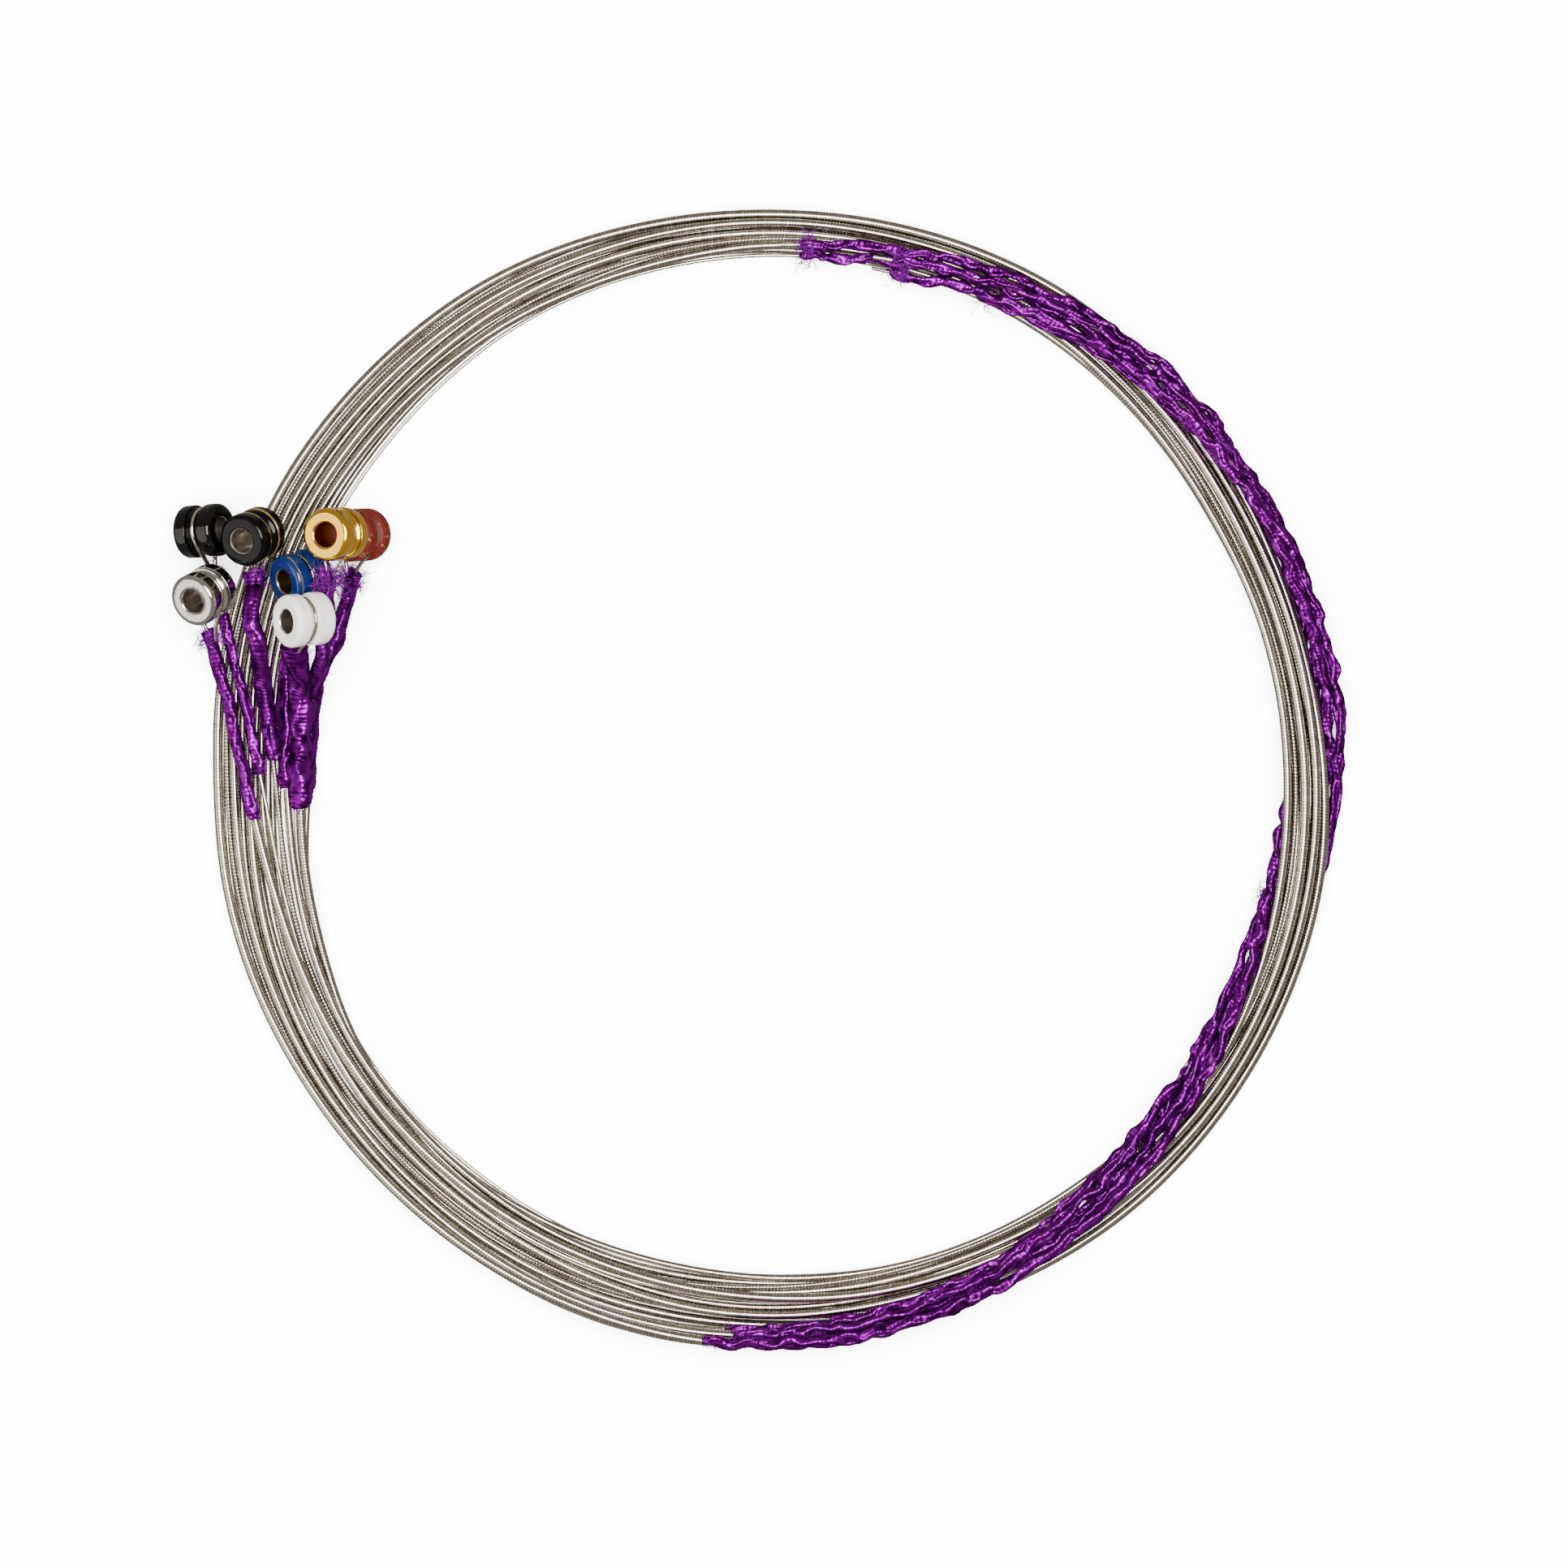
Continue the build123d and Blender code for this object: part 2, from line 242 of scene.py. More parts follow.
def ball_frame(s, target):
    """The ball end's centre, its bore's direction and the direction in which the string leaves."""
    centre = Vector(s.ball)
    bore = Vector(s.facing).normalized()
    lead = target - centre
    leaving = (lead - bore * lead.dot(bore)).normalized()
    return centre, bore, leaving


def loop_points(s, target):
    """Points of the wire from its cut end, round the ball end and back to the twist."""
    centre, bore, leaving = ball_frame(s, target)
    side = bore.cross(leaving)
    radius = GROOVE_FLOOR_RADIUS + s.core / 2 + LOOP_CLEARANCE
    spread = s.core / 2 + TWIST_SPACE
    touch = math.acos(radius / TWIST_REACH)
    part = (2 * math.pi - 2 * touch) / LOOP_SIDES
    corner = radius / math.cos(part / 2)
    angles = [touch + part * (n + 0.5) for n in range(LOOP_SIDES)]
    circle = [centre + leaving * corner * math.cos(a) + side * corner * math.sin(a) for a in angles]
    cut_end = centre + leaving * (TWIST_REACH + TWIST_LENGTH) + side * spread
    twist_out = centre + leaving * TWIST_REACH + side * spread
    twist_back = centre + leaving * TWIST_REACH - side * spread
    return [cut_end, twist_out, *circle, twist_back]


def coil_points(s, angles, radii, heights):
    """Points of the coiled part. They lie outside the line, which cuts their corners."""
    points = []
    for angle, radius, height in zip(angles, radii, heights):
        if FIRST_STATION < angle <= s.end:
            reach = radius / math.cos(math.radians(STEP / 2))
            turn = math.radians(angle)
            points.append(Vector((reach * math.cos(turn), reach * math.sin(turn), height)))
    return points


# ---------------------------------------------------------------- Lines and tubes


def place(points):
    """Millimetres from the middle of the ring, to metres in the row frame."""
    shift = np.array([*RING_CENTRE, 0])
    return [Vector((np.array(p) + shift) * MM) for p in points]


def nurbs(curve, points):
    """A quadratic spline, tangent to each run between its points. Its bevel is in millimetres."""
    spline = curve.splines.new("NURBS")
    spline.points.add(len(points) - 1)
    for target, point in zip(spline.points, points):
        target.co = (*point, 1)
        target.radius = MM
    spline.order_u = 3
    spline.use_endpoint_u = True
    return spline


def line_of(points, samples):
    """Points along the spline, close together."""
    curve = bpy.data.curves.new("line", "CURVE")
    curve.dimensions = "3D"
    curve.resolution_u = samples
    nurbs(curve, points)
    holder = bpy.data.objects.new("line", curve)
    mesh = bpy.data.meshes.new_from_object(holder)
    line = np.array([v.co for v in mesh.vertices])
    bpy.data.objects.remove(holder)
    bpy.data.meshes.remove(mesh)
    bpy.data.curves.remove(curve)
    return line


def even_line(line, spacing):
    """The same line with its points at equal distances, and those distances."""
    runs = np.linalg.norm(np.diff(line, axis=0), axis=1)
    along = np.concatenate([[0], np.cumsum(runs)])
    count = max(4, round(along[-1] / spacing))
    distances = np.linspace(0, along[-1], count + 1)
    spread = [np.interp(distances, along, line[:, axis]) for axis in range(3)]
    return np.stack(spread, axis=1), distances


def side_directions(line):
    """Two directions square to the line at each point, which turn with it as little as they can."""
    ahead = np.gradient(line, axis=0)
    ahead /= np.linalg.norm(ahead, axis=1)[:, None]
    first = np.cross(ahead[0], (0.1, 0.2, 1.0))
    across = [first / np.linalg.norm(first)]
    for direction in ahead[1:]:
        kept = across[-1] - direction * (across[-1] @ direction)
        across.append(kept / np.linalg.norm(kept))
    across = np.array(across)
    return across, np.cross(ahead, across)


def tube(name, line, distances, reach, sides, turn_length, body="strings"):
    """A closed tube mesh. reach is its radius at each (point of the line, side).

    Its UV map "turns" counts turns of the wrapping along it, and goes from 0 to 1 round it.
    """
    across, upward = side_directions(line)
    angles = np.linspace(0, 2 * math.pi, sides, endpoint=False)
    cosines = np.cos(angles)[None, :, None]
    sines = np.sin(angles)[None, :, None]
    rim = across[:, None] * cosines + upward[:, None] * sines
    vertices = (line[:, None] + rim * reach[..., None]).reshape(-1, 3)
    rings = len(line)
    start = np.arange(rings - 1)[:, None] * sides
    side = np.arange(sides)[None]
    after = (side + 1) % sides
    quads = np.stack([start + side, start + after, start + sides + after, start + sides + side], -1)
    quads = quads.reshape(-1, 4)
    caps = [list(range(sides))[::-1], list(range((rings - 1) * sides, rings * sides))]
    mesh = bpy.data.meshes.new(name)
    mesh.from_pydata(vertices.tolist(), [], quads.tolist() + caps)
    turns = distances / turn_length
    low, high = turns[:-1, None], turns[1:, None]
    left = np.broadcast_to(side / sides, (rings - 1, sides))
    right = left + 1 / sides
    low, high = np.broadcast_to(low, left.shape), np.broadcast_to(high, left.shape)
    corners = np.stack(
        [np.stack([low, left], -1), np.stack([low, right], -1),
         np.stack([high, right], -1), np.stack([high, left], -1)], 2
    ).reshape(-1, 2)
    caps_uv = np.zeros((2 * sides, 2))
    layer = mesh.uv_layers.new(name="turns")
    layer.data.foreach_set("uv", np.concatenate([corners, caps_uv]).astype(np.float32).ravel())
    mesh.shade_smooth()
    made = bpy.data.objects.new(name, mesh)
    bpy.context.scene.collection.objects.link(made)
    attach(made, body)
    return made


def smooth_noise(random, distances, wavelength):
    """A smooth random wave between about -1 and 1."""
    knots = int(distances[-1] / wavelength) + 4
    values = random.uniform(-1, 1, knots)
    at = distances / wavelength
    whole = at.astype(int)
    part = at - whole
    blend = part * part * (3 - 2 * part)
    return values[whole] * (1 - blend) + values[whole + 1] * blend


# ---------------------------------------------------------------- Materials


OBJECT_COORDINATES = 3  # the texture coordinate node's output for a piece's own coordinates


class Shader:
    """A short way to lay out a material's nodes."""

    def __init__(self, name):
        self.material = bpy.data.materials.new(name)
        self.material.use_nodes = True
        self.tree = self.material.node_tree
        self.surface = self.tree.nodes["Principled BSDF"]

    def node(self, kind, *inputs, output=0, **settings):
        made = self.tree.nodes.new(kind)
        for key, value in settings.items():
            if key in made.bl_rna.properties:
                setattr(made, key, value)
            else:
                self.feed(made.inputs[key.replace("_", " ").title()], value)
        for number, value in enumerate(inputs):
            if value is not None:
                self.feed(made.inputs[number], value)
        return made.outputs[output]

    def feed(self, socket, value):
        if isinstance(value, bpy.types.NodeSocket):
            self.tree.links.new(value, socket)
        else:
            socket.default_value = value

    def set(self, **values):
        for key, value in values.items():
            socket = key.replace("_", " ").title().replace("Ior", "IOR")
            self.feed(self.surface.inputs[socket], value)

    def math(self, operation, *inputs):
        return self.node("ShaderNodeMath", *inputs, operation=operation)

    def noise(self, scale, detail=3.0, stretch=(1, 1, 1), roughness=0.5):
        """Noise in the piece's own metres, drawn out along an axis by stretch."""
        where = self.node("ShaderNodeTexCoord", output=OBJECT_COORDINATES)
        moved = self.node("ShaderNodeVectorMath", where, stretch, operation="MULTIPLY")
        settings = {"Scale": scale, "Detail": detail, "Roughness": roughness}
        return self.node("ShaderNodeTexNoise", moved, **settings)

    def step(self, value, low, high):
        """0 below low, 1 above high and smooth between."""
        ends = (low, high, 0.0, 1.0)
        return self.node("ShaderNodeMapRange", value, *ends, interpolation_type="SMOOTHSTEP")

    def mix(self, share, first, second):
        """A blend of two colours. Inputs 6 and 7 and output 2 are the mix node's colour sockets."""
        made = self.tree.nodes.new("ShaderNodeMix")
        made.data_type = "RGBA"
        self.feed(made.inputs["Factor"], share)
        for socket, value in zip((made.inputs[6], made.inputs[7]), (first, second)):
            if isinstance(value, bpy.types.NodeSocket):
                self.feed(socket, value)
            else:
                self.feed(socket, (*value, 1))
        return made.outputs[2]

    def bump(self, height, distance, strength=1.0):
        made = self.node("ShaderNodeBump", Strength=strength, Distance=distance, Height=height)
        self.feed(self.surface.inputs["Normal"], made)

    def along_and_round(self):
        """Turns along a wrapped tube at each point, and the way round it from 0 to 1."""
        where = self.node("ShaderNodeUVMap", uv_map="turns")
        parts = self.tree.nodes.new("ShaderNodeSeparateXYZ")
        self.feed(parts.inputs[0], where)
        return parts.outputs["X"], parts.outputs["Y"]

    def wrapping(self, lean=1.0):
        """How far into its turn each point of a tube is, from 0 to 1, and the turn's number."""
        along, around = self.along_and_round()
        count = self.math("MULTIPLY_ADD", around, lean, along)
        return self.math("FRACT", count), self.math("FLOOR", count)


def wire_material():
    """Drawn and tinned steel: bright, with faint marks along it."""
    s = Shader("plain_steel")
    mark = s.noise(9000, 4)
    s.set(
        base_color=s.mix(s.step(mark, 0.35, 0.7), (0.42, 0.38, 0.33), (0.62, 0.58, 0.52)),
        metallic=1.0,
        roughness=s.math("MULTIPLY_ADD", mark, 0.16, 0.08),
    )
    s.bump(mark, 0.00001, 0.4)
    return s.material


def winding_material():
    """Wound and polished metal, with painted shade: a fine near-black line in the groove between
    turns.
    """
    s = Shader("wound_nickel")
    inside_turn, turn = s.wrapping()
    from_middle = s.math("ABSOLUTE", s.math("SUBTRACT", inside_turn, 0.5))
    groove_shade = s.step(from_middle, 0.38, 0.5)
    tone = s.node("ShaderNodeTexWhiteNoise", None, turn, noise_dimensions="1D")
    stain = s.noise(1500, 4)
    ribbon = s.mix(tone, (0.33, 0.295, 0.25), (0.42, 0.385, 0.34))
    warm = s.mix(s.step(stain, 0.55, 0.75), ribbon, (0.26, 0.215, 0.165))
    s.set(
        # painted shade: the groove between turns is coloured near black, where shade falls between
        # them
        base_color=s.mix(groove_shade, warm, (0.09, 0.075, 0.06)),
        metallic=1.0,
        roughness=s.math("MULTIPLY_ADD", stain, 0.18, 0.10),
    )
    s.bump(s.math("SUBTRACT", 1.0, groove_shade), 0.00001, 0.2)
    return s.material


RIDGES = 4.0  # round a silk wrapping


def silk_material():
    """Purple floss, wound tight and pressed into wrinkles: a satin sheen over a deep violet, with
    painted shade in the valleys of its folds and between its floss turns.
    """
    s = Shader("purple_silk")
    inside_turn, turn = s.wrapping(0.7)
    thread = s.math("SINE", s.math("MULTIPLY", inside_turn, math.pi))
    tone = s.node("ShaderNodeTexWhiteNoise", None, turn, noise_dimensions="1D")
    wrinkle = s.noise(800, 4, roughness=0.55)
    _, round_it = s.along_and_round()
    wander = s.math("MULTIPLY", s.noise(420, 2), RIDGES)
    around = s.math("MULTIPLY_ADD", round_it, RIDGES, wander)
    wave = s.math("SINE", s.math("MULTIPLY", around, 2 * math.pi))
    ridge = s.math("MULTIPLY_ADD", wave, 0.5, 0.5)
    fold = s.math("MULTIPLY_ADD", ridge, 0.45, wrinkle)
    # painted shade: where the folds and floss turns dip, the colour goes to near-black violet; the
    # ridges stay lighter
    depth = s.step(s.math("MULTIPLY_ADD", thread, 0.12, fold), 0.42, 1.05)
    shade = s.mix(depth, (0.006, 0.0, 0.012), (0.15, 0.0, 0.21))
    s.set(
        base_color=s.mix(s.math("MULTIPLY", tone, 0.3), shade, (0.17, 0.0, 0.21)),
        metallic=0.82,
        roughness=s.math("MULTIPLY_ADD", wrinkle, 0.22, 0.16),
        specular_tint=(0.8, 0.1, 1.0, 1),
        specular_ior_level=0.2,
    )
    s.bump(s.math("MULTIPLY_ADD", thread, 0.14, fold), 0.00012, 1.0)
    return s.material


def fibre_material():
    """Single loose fibres of the same floss."""
    s = Shader("purple_fibre")
    s.set(
        base_color=s.mix(s.noise(600, 2), (0.07, 0.0, 0.12), (0.19, 0.0, 0.27)),
        roughness=0.55,
        specular_ior_level=0.15,
    )
    return s.material


def radius_and_height(s):
    """Distance from a ball end's axis and height along it, in millimetres."""
    where = s.node("ShaderNodeTexCoord", output=OBJECT_COORDINATES)
    parts = s.tree.nodes.new("ShaderNodeSeparateXYZ")
    s.feed(parts.inputs[0], where)
    x, y, z = parts.outputs
    across = s.math("SQRT", s.math("ADD", s.math("MULTIPLY", x, x), s.math("MULTIPLY", y, y)))
    return s.math("DIVIDE", across, MM), s.math("DIVIDE", z, MM)


def band(s, value, middle, width):
    """1 on a line round a ball end, 0 elsewhere."""
    off = s.math("ABSOLUTE", s.math("SUBTRACT", value, middle))
    return s.math("SUBTRACT", 1.0, s.step(off, width * 0.7, width))


BARE_METAL = {
    "gold": (0.42, 0.10, 0.05),
    "silver": (0.56, 0.52, 0.47),
    "white": (0.56, 0.52, 0.47),
    "black": (0.40, 0.38, 0.36),
    "nickel": (0.50, 0.46, 0.41),
    "blue": (0.34, 0.24, 0.10),
    "red": (0.76, 0.52, 0.24),
}


def ball_material(name, coat, metallic, roughness, scratches=0.0, lines=(), scratch_color=None,
                  shine=0.5):
    """A ball end's finish: its coat, bare metal in the bore, scratches, and worn lines round it."""
    s = Shader(f"{name}_finish")
    across, along = radius_and_height(s)
    bare = BARE_METAL[name]
    bore_edge = BORE_DIAMETER / 2 + 0.02
    bore = s.math("SUBTRACT", 1.0, s.step(across, bore_edge, bore_edge + 0.1))
    streaks = s.noise(1500, 6, stretch=(1, 1, 9), roughness=0.65)
    fine = s.noise(4200, 4, stretch=(1, 1, 0.35))
    darker = tuple(0.7 * c for c in coat)
    color = s.mix(s.math("MULTIPLY", s.step(fine, 0.3, 0.8), 0.25), coat, darker)
    metal = bore
    if scratches:
        rough = s.math("MULTIPLY_ADD", fine, 0.35, s.math("MULTIPLY", streaks, 0.65))
        worn = s.step(rough, 0.66 - 0.2 * scratches, 0.70 - 0.2 * scratches)
        color = s.mix(worn, color, scratch_color or bare)
        metal = s.math("MAXIMUM", metal, s.math("MULTIPLY", worn, 0.7))
    for middle, width, shade in lines:
        line = band(s, along, middle, width)
        color = s.mix(line, color, shade)
        metal = s.math("MAXIMUM", metal, line)
    color = s.mix(bore, color, bare)
    s.set(
        base_color=color,
        metallic=s.math("MAXIMUM", metal, metallic) if metallic < 1 else 1.0,
        roughness=s.math("MAXIMUM", s.math("MULTIPLY", bore, 0.24),
                         s.math("MULTIPLY_ADD", fine, 0.10, roughness - 0.05)),
    )
    if metallic < 0.5:
        s.set(specular_ior_level=shine)
    s.bump(s.math("MULTIPLY_ADD", streaks, 0.6, fine), 0.00002, 0.25)
    return s.material


GOLD_LINE = (0.85, 0.62, 0.22)
TEAL_LINE = (0.05, 0.42, 0.40)

MATERIALS = {
    "wire": wire_material(),
    "winding": winding_material(),
    "silk": silk_material(),
    "fibre": fibre_material(),
    "red": ball_material("red", (0.12, 0.010, 0.005), 0.0, 0.5, scratches=0.42, shine=0.2),
    "gold": ball_material("gold", (0.76, 0.45, 0.045), 1.0, 0.10),
    "white": ball_material("white", (0.97, 0.96, 0.94), 0.0, 0.14, scratches=0.22,
                           scratch_color=(0.30, 0.19, 0.12)),
    "blue": ball_material("blue", (0.002, 0.016, 0.10), 0.0, 0.10, scratches=0.12,
                          lines=((1.33, 0.05, GOLD_LINE), (-1.28, 0.07, TEAL_LINE))),
    "nickel": ball_material("nickel", (0.0015, 0.0012, 0.001), 0.0, 0.09, scratches=0.05,
                            lines=((0.62, 0.09, GOLD_LINE), (-0.62, 0.09, GOLD_LINE)), shine=0.15),
    "black": ball_material("black", (0.0008, 0.0008, 0.0008), 0.0, 0.06, shine=0.3),
    "silver": ball_material("silver", (0.46, 0.44, 0.41), 1.0, 0.10),
}


def finish_piece(piece, material, node=None):
    piece.data.materials.append(material)
    if node:
        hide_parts(node)


# ---------------------------------------------------------------- The pieces of one string

FINE_STEP = 0.05  # between the points of a string's fine line
LINE_SAMPLES = 30  # of the spline between two of its points, before they are spread evenly
BARE_TIP = 1.44  # of wire at the peg end

# A turn's length along the string, and the depth of the groove between turns.
RIBBON = 0.24
RIBBON_GROOVE = 0.016
ROUND_WIRE = 0.26
ROUND_GROOVE = 0.055
RINGS_PER_TURN = 4
WINDING_SIDES = 10


def between(first, second, share):
    return first + (second - first) * share


def core_wire(s, points):
    """The whole wire: cut end, loop round the ball end, twist, and on inside to its bare tip."""
    curve = bpy.data.curves.new(f"{s.name}_wire", "CURVE")
    curve.dimensions = "3D"
    curve.resolution_u = 10
    curve.bevel_depth = s.core / 2
    curve.bevel_resolution = 3
    curve.use_fill_caps = True
    nurbs(curve, points)
    wire = bpy.data.objects.new(f"{s.name}_wire", curve)
    bpy.context.scene.collection.objects.link(wire)
    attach(wire, "strings")
    finish_piece(wire, MATERIALS["wire"], f"{s.name}_core_wire")
    return wire


def angles_of(line):
    """Each point's angle about the ring's middle, growing along the string."""
    middle = np.array(RING_CENTRE) * MM
    turned = np.unwrap(np.arctan2(line[:, 1] - middle[1], line[:, 0] - middle[0]))
    return np.degrees(turned)


def winding(s, line):
    """Ribbon polished nearly flat, or round wire whose turns stand out on the nickel string."""
    turn, groove = (ROUND_WIRE, ROUND_GROOVE) if s.name == "nickel" else (RIBBON, RIBBON_GROOVE)
    turn *= MM
    line, distances = even_line(line, turn / RINGS_PER_TURN)
    phase = (distances / turn)[:, None] + np.arange(WINDING_SIDES)[None] / WINDING_SIDES
    reach = s.diameter / 2 * MM - groove * MM * (1 - np.abs(np.sin(math.pi * phase)))
    piece = tube(f"{s.name}_wound", line, distances, reach, WINDING_SIDES, turn)
    finish_piece(piece, MATERIALS["winding"], f"{s.name}_winding")
    return piece, line


@dataclass
class Wrapping:
    """How a silk wrapping is shaped. All but its twist are shares of its thickness."""

    end: str
    crinkle: float  # how far it wanders off the wire
    flat: float  # how far it is pressed flat
    twist: float  # millimetres in which its flat side goes once round, or 0
    pinch: float  # how its thickness changes from place to place
    cuff: float  # how far its first turns stand out


BALL_WRAPPING = Wrapping("ball", crinkle=0.08, flat=0.12, twist=0, pinch=0.04, cuff=0.22)
PEG_WRAPPING = Wrapping("peg", crinkle=0.28, flat=0.26, twist=2.3, pinch=0.12, cuff=0)

SILK_SIDES = 24
SILK_SPACING = 0.09  # between its rings of points
SILK_TIGHTNESS = 0.93  # its mean thickness, so that its folds don't swell past the CAD solid
FLOSS = 0.34  # a turn's length along the string
STRAND_HEIGHT = 0.025  # of one turn, as a share of the thickness
LEAST_OVER_WIRE = 0.03  # of silk, where it is pressed thinnest
# Lengths along a wrapping over which its shape changes, from SWAY_LENGTH to CUFF_LENGTH.
SWAY_LENGTH = 1.1
SWAY_EASE = 0.8
FLAT_LENGTH = 2.8
# Folds round a wrapping: (how many, their height, the length over which they change).
FOLDS = ((3, 0.13, 1.7), (4, 0.09, 1.2), (6, 0.05, 0.9))
SHORT_PINCH = 0.5
LONG_PINCH = 1.4
LONG_PINCH_SHARE = 0.07
END_SHARE = 0.62  # of its thickness, at the ends
TAPER_LENGTH = 0.55
CUFF_LENGTH = 1.3


def silk_sway(form, distances, random):
    """Sideways shifts of a wrapping's line, as shares of its thickness."""
    waves = [smooth_noise(random, distances, SWAY_LENGTH * MM) for _ in range(3)]
    left = np.minimum(distances, distances[-1] - distances)
    ease = np.clip(left / (SWAY_EASE * MM), 0, 1)[:, None]
    return np.stack(waves, 1) * ease * (form.crinkle, form.crinkle, 0.35 * form.crinkle)


def silk_folds(form, distances, angles, random):
    """How far the folds stand out at each (point of the line, side)."""
    swell = np.zeros((len(distances), angles.shape[1]))
    for folds, height, length in ((2, form.flat, FLAT_LENGTH), *FOLDS):
        turned = 2.2 * smooth_noise(random, distances, 1.6 * length * MM)[:, None]
        if folds == 2 and form.twist:
            turned = turned + 2 * math.pi * distances[:, None] / (form.twist * MM)
        size = height * (0.6 + 0.4 * smooth_noise(random, distances, length * MM))[:, None]
        swell += size * np.cos(folds * angles + turned)
    return swell


def silk_taper(form, distances):
    """Thinner towards both ends, or standing out like a cuff next to the ball end."""
    left = np.minimum(distances, distances[-1] - distances)
    taper = np.clip(END_SHARE + (1 - END_SHARE) * left / (TAPER_LENGTH * MM), 0, 1)
    if form.cuff:
        cuff = 1 + form.cuff * np.clip(1 - distances / (CUFF_LENGTH * MM), 0, 1)
        taper = np.where(distances < distances[-1] / 2, cuff, taper)
    return taper[:, None]


def silk(s, form, line, diameter, random):
    """Floss wound on and pressed flat here and there, so that long ridges wander along it."""
    line, distances = even_line(line, SILK_SPACING * MM)
    line = line + silk_sway(form, distances, random) * diameter * MM
    angles = np.linspace(0, 2 * math.pi, SILK_SIDES, endpoint=False)[None]
    swell = silk_folds(form, distances, angles, random)
    pinch = form.pinch * smooth_noise(random, distances, SHORT_PINCH * MM)
    pinch += LONG_PINCH_SHARE * smooth_noise(random, distances, LONG_PINCH * MM)
    turn = FLOSS * MM
    strand = STRAND_HEIGHT * np.cos(2 * math.pi * distances[:, None] / turn + angles)
    shape = 1 + swell + pinch[:, None] + strand
    reach = diameter / 2 * MM * SILK_TIGHTNESS * silk_taper(form, distances) * shape
    least = (s.core / 2 + LEAST_OVER_WIRE) * MM
    name = f"{s.name}_{form.end}_floss"
    piece = tube(name, line, distances, np.maximum(reach, least), SILK_SIDES, turn)
    finish_piece(piece, MATERIALS["silk"], f"{s.name}_{form.end}_silk")
    return piece


FIBRE_RADIUS = 0.026
FIBRE_POINTS = 8
FIBRE_CURL = 0.55  # how far each step turns with the curl
FIBRE_SWAY = 0.14  # and at random
LOWEST_FIBRE = 0.03  # above the table


def fibre_points(start, heading, spread, random):
    """One loose fibre, which curls as it goes and stays above the table."""
    here = start
    curl = Vector(random.normal(0, 1, 3)).normalized()
    points = []
    for _ in range(FIBRE_POINTS):
        points.append(Vector((here.x, here.y, max(here.z, LOWEST_FIBRE * MM))))
        curl = (curl + Vector(random.normal(0, 0.35, 3))).normalized()
        sway = Vector(random.normal(0, FIBRE_SWAY, 3))
        heading = (heading + heading.cross(curl) * FIBRE_CURL + sway).normalized()
        heading.z *= 0.75
        here = here + heading * random.uniform(0.09, 0.2) * spread * MM
    return points


def fuzz(s, end, place_at, away, diameter, random, count, spread):
    """Loose fibres that stand out of the end of a silk wrapping."""
    curve = bpy.data.curves.new(f"{s.name}_{end}_fuzz", "CURVE")
    curve.dimensions = "3D"
    curve.bevel_depth = FIBRE_RADIUS
    curve.bevel_resolution = 1
    curve.resolution_u = 5
    away = away.normalized()
    side = away.cross(Vector((0, 0, 1))).normalized()
    up = side.cross(away)
    for _ in range(count):
        turn = random.uniform(0, 2 * math.pi)
        out = side * math.cos(turn) + up * math.sin(turn)
        start = place_at + out * diameter * 0.4 * MM
        start = start - away * random.uniform(0.1, 0.9) * spread * MM
        heading = out * random.uniform(0.4, 1.0) + away * random.uniform(-0.3, 0.9)
        nurbs(curve, fibre_points(start, heading.normalized(), spread, random))
    piece = bpy.data.objects.new(f"{s.name}_{end}_fuzz", curve)
    bpy.context.scene.collection.objects.link(piece)
    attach(piece, "strings")
    finish_piece(piece, MATERIALS["fibre"])
    return piece


# The spool's section: radii of its roundings, and its groove.
BORE_ROUNDING = 0.25
RIM_ROUNDING = 0.42
GROOVE_EDGE = 0.07
EDGE_SETBACK = 0.05
GROOVE_ARC = 62  # degrees each side of its middle
GROOVE_SHARE = 0.98  # of the groove's width that its round floor fills
SPOOL_SIDES = 96


def ball_profile():
    """(radius, height) points of the spool's section, from one lip over the groove to the other."""
    outside, inside = BALL_DIAMETER / 2, BORE_DIAMETER / 2
    half, lip = BALL_LENGTH / 2, GROOVE_WIDTH / 2
    wide = outside - GROOVE_FLOOR_RADIUS
    points = []

    def arc(radius, height, size, start, end, steps):
        for angle in np.radians(np.linspace(start, end, steps + 1)):
            points.append((radius + size * math.cos(angle), height + size * math.sin(angle)))

    arc(inside + BORE_ROUNDING, half - BORE_ROUNDING, BORE_ROUNDING, 180, 90, 5)
    arc(outside - RIM_ROUNDING, half - RIM_ROUNDING, RIM_ROUNDING, 90, 0, 8)
    arc(outside - GROOVE_EDGE, lip + EDGE_SETBACK, GROOVE_EDGE, 0, -80, 4)
    edge = math.radians(GROOVE_ARC)
    for angle in np.radians(np.linspace(GROOVE_ARC, -GROOVE_ARC, 13)):
        share = (math.cos(angle) - math.cos(edge)) / (1 - math.cos(edge))
        radius = outside - GROOVE_EDGE - (wide - GROOVE_EDGE) * share
        points.append((radius, lip * GROOVE_SHARE * math.sin(angle) / math.sin(edge)))
    arc(outside - GROOVE_EDGE, -lip - EDGE_SETBACK, GROOVE_EDGE, 80, 0, 4)
    arc(outside - RIM_ROUNDING, -half + RIM_ROUNDING, RIM_ROUNDING, 0, -90, 8)
    arc(inside + BORE_ROUNDING, -half + BORE_ROUNDING, BORE_ROUNDING, -90, -180, 5)
    return points


